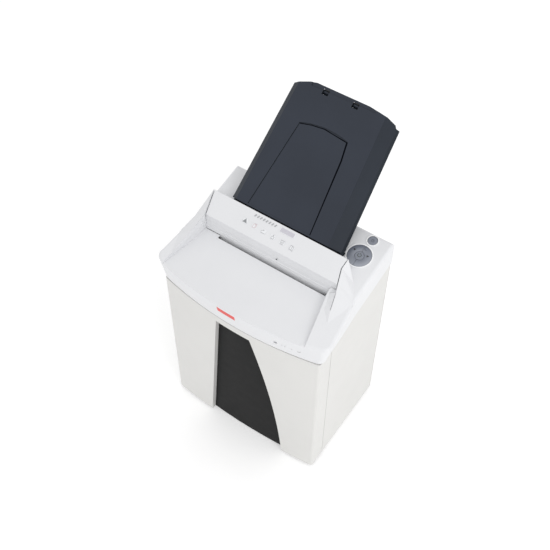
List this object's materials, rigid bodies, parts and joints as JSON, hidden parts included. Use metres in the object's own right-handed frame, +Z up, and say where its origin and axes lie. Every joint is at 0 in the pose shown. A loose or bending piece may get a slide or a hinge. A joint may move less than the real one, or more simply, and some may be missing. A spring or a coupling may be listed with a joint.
{
  "type": "paper shredder",
  "caption": "Free-standing autofeed paper shredder with a sloped control head, an anthracite sheet-feeder lid and a full-height pull-out waste container.",
  "frame": {"origin": "on the floor, under the middle of the whole machine's bounding box", "axes": "+Z up, +Y to the back, +X to the user's right when facing the front"},
  "size_m": [0.3782, 0.3938, 0.6723],
  "materials": {
    "shell_white": "fine moulded texture, cool white",
    "cabinet_white": "fine moulded texture, slightly warmer white",
    "container_white": "fine moulded texture, slightly warmer white",
    "anthracite": "fine moulded texture, blue-grey anthracite",
    "window_dark": "smoked dark panel, satin",
    "key_grey": "satin lilac-grey keys",
    "bezel_bright": "silver paint",
    "badge_red": "red gloss",
    "lens": "clear moulded lens",
    "black_plastic": "black, fine texture",
    "bin_grey": "mid grey moulded",
    "steel": "plain steel",
    "hard_steel": "hardened, lightly oiled",
    "zinc_sheet": "zinc plated sheet",
    "gear_plastic": "natural acetal",
    "rubber_black": "matt black rubber",
    "board_green": "solder resist over glass laminate",
    "motor_paint": "dark grey paint",
    "brass_bush": "sintered bronze bushes",
    "steel_gear": "machined steel"
  },
  "bodies": {
    "cabinet": {"base_plate": "cabinet_white", "side_wall_left": "cabinet_white", "side_wall_right": "cabinet_white", "back_wall": "cabinet_white", "rubber_feet": "rubber_black", "guide_rails": "gear_plastic", "cutter_shelf": "zinc_sheet", "back_screws": "steel", "head_housing": "shell_white", "hood": "shell_white", "indicator_lenses": "lens", "display_window": "lens", "status_lenses": "lens", "fascia_badge": "badge_red", "control_bezels": "bezel_bright", "control_board": "board_green", "tact_switches": "black_plastic", "paper_tray": "anthracite", "lid_hinge_pins": "steel", "side_frame_left": "zinc_sheet", "side_frame_right": "zinc_sheet", "shaft_bushes": "brass_bush", "tie_bars": "steel", "stripper_combs": "gear_plastic", "motor_housing": "motor_paint", "gear_cover": "zinc_sheet", "feed_belt": "rubber_black", "mains_inlet": "black_plastic", "switch_frame": "black_plastic", "power_supply": "black_plastic", "paper_sensors": "black_plastic", "container_switch": "black_plastic", "catch_magnet": "black_plastic"},
    "waste_container": {"container_front": "container_white", "window_panel": "window_dark", "waste_bin": "bin_grey", "container_skids": "gear_plastic", "catch_plate": "steel"},
    "lid": {"feeder_lid": "anthracite", "lid_hinge_arms": "anthracite"},
    "sheet_presser": {"pressure_plate": "anthracite"},
    "forward_key": {"forward_key": "key_grey"},
    "reverse_key": {"reverse_key": "key_grey"},
    "power_key": {"power_button": "key_grey"},
    "release_key": {"lid_release_button": "key_grey"},
    "rear_cutter": {"cutting_shaft_rear": "hard_steel", "sync_gear_rear": "steel_gear", "main_gear": "gear_plastic", "cutter_pulley": "gear_plastic"},
    "front_cutter": {"cutting_shaft_front": "hard_steel", "sync_gear_front": "steel_gear"},
    "reduction_stage": {"reduction_gear": "gear_plastic"},
    "motor_armature": {"motor_rotor": "steel", "motor_pinion": "steel_gear", "cooling_fan": "black_plastic"},
    "feed_roller": {"feed_shaft": "steel", "feed_rollers": "rubber_black", "feed_pulley": "gear_plastic"},
    "rocker": {"mains_rocker": "black_plastic"}
  },
  "joints": [
    {"name": "container_slide", "type": "slide", "parent": "cabinet", "child": "waste_container", "axis": [0, -1, 0], "range_m": [0, 0.23]},
    {"name": "lid_hinge", "type": "hinge", "parent": "cabinet", "child": "lid", "pos_m": [0, 0.18297, 0.66082], "axis": [-1, 0, 0], "range_deg": [0, 70]},
    {"name": "presser_pivot", "type": "hinge", "parent": "lid", "child": "sheet_presser", "pos_m": [0, 0.04929, 0.55102], "axis": [-1, 0, 0], "range_deg": [0, 3.5], "stiffness_Nm_per_rad": 0.3, "springref_deg": -8.59},
    {"name": "forward_press", "type": "slide", "parent": "cabinet", "child": "forward_key", "axis": [0, 0.1867, -0.9824], "range_m": [0, 0.0012], "stiffness_N_per_m": 400, "springref_m": -0.001},
    {"name": "reverse_press", "type": "slide", "parent": "cabinet", "child": "reverse_key", "axis": [0, 0.1867, -0.9824], "range_m": [0, 0.0012], "stiffness_N_per_m": 400, "springref_m": -0.001},
    {"name": "power_press", "type": "slide", "parent": "cabinet", "child": "power_key", "axis": [0, 0.1867, -0.9824], "range_m": [0, 0.0012], "stiffness_N_per_m": 400, "springref_m": -0.001},
    {"name": "release_press", "type": "slide", "parent": "cabinet", "child": "release_key", "axis": [0, 0.1867, -0.9824], "range_m": [0, 0.0012], "stiffness_N_per_m": 400, "springref_m": -0.001},
    {"name": "cutter_turn", "type": "hinge", "parent": "cabinet", "child": "rear_cutter", "pos_m": [0, -0.04961, 0.418], "axis": [1, 0, 0], "continuous": true},
    {"name": "front_cutter_turn", "type": "hinge", "parent": "cabinet", "child": "front_cutter", "pos_m": [0, -0.08961, 0.418], "axis": [1, 0, 0], "continuous": true},
    {"name": "reduction_turn", "type": "hinge", "parent": "cabinet", "child": "reduction_stage", "pos_m": [0, -0.00615, 0.42968], "axis": [1, 0, 0], "continuous": true},
    {"name": "motor_turn", "type": "hinge", "parent": "cabinet", "child": "motor_armature", "pos_m": [0, 0.02039, 0.418], "axis": [1, 0, 0], "continuous": true},
    {"name": "feed_turn", "type": "hinge", "parent": "cabinet", "child": "feed_roller", "pos_m": [0, -0.01331, 0.4634], "axis": [1, 0, 0], "continuous": true},
    {"name": "rocker_tilt", "type": "hinge", "parent": "cabinet", "child": "rocker", "pos_m": [-0.087, 0.06439, 0.068], "axis": [-1, 0, 0], "range_deg": [0, 16]}
  ],
  "couplings": [
    {"joint": "front_cutter_turn", "follows": "cutter_turn", "ratio": -1},
    {"joint": "reduction_turn", "follows": "cutter_turn", "ratio": -4.1429},
    {"joint": "motor_turn", "follows": "cutter_turn", "ratio": 15.881},
    {"joint": "feed_turn", "follows": "cutter_turn", "ratio": 1}
  ]
}
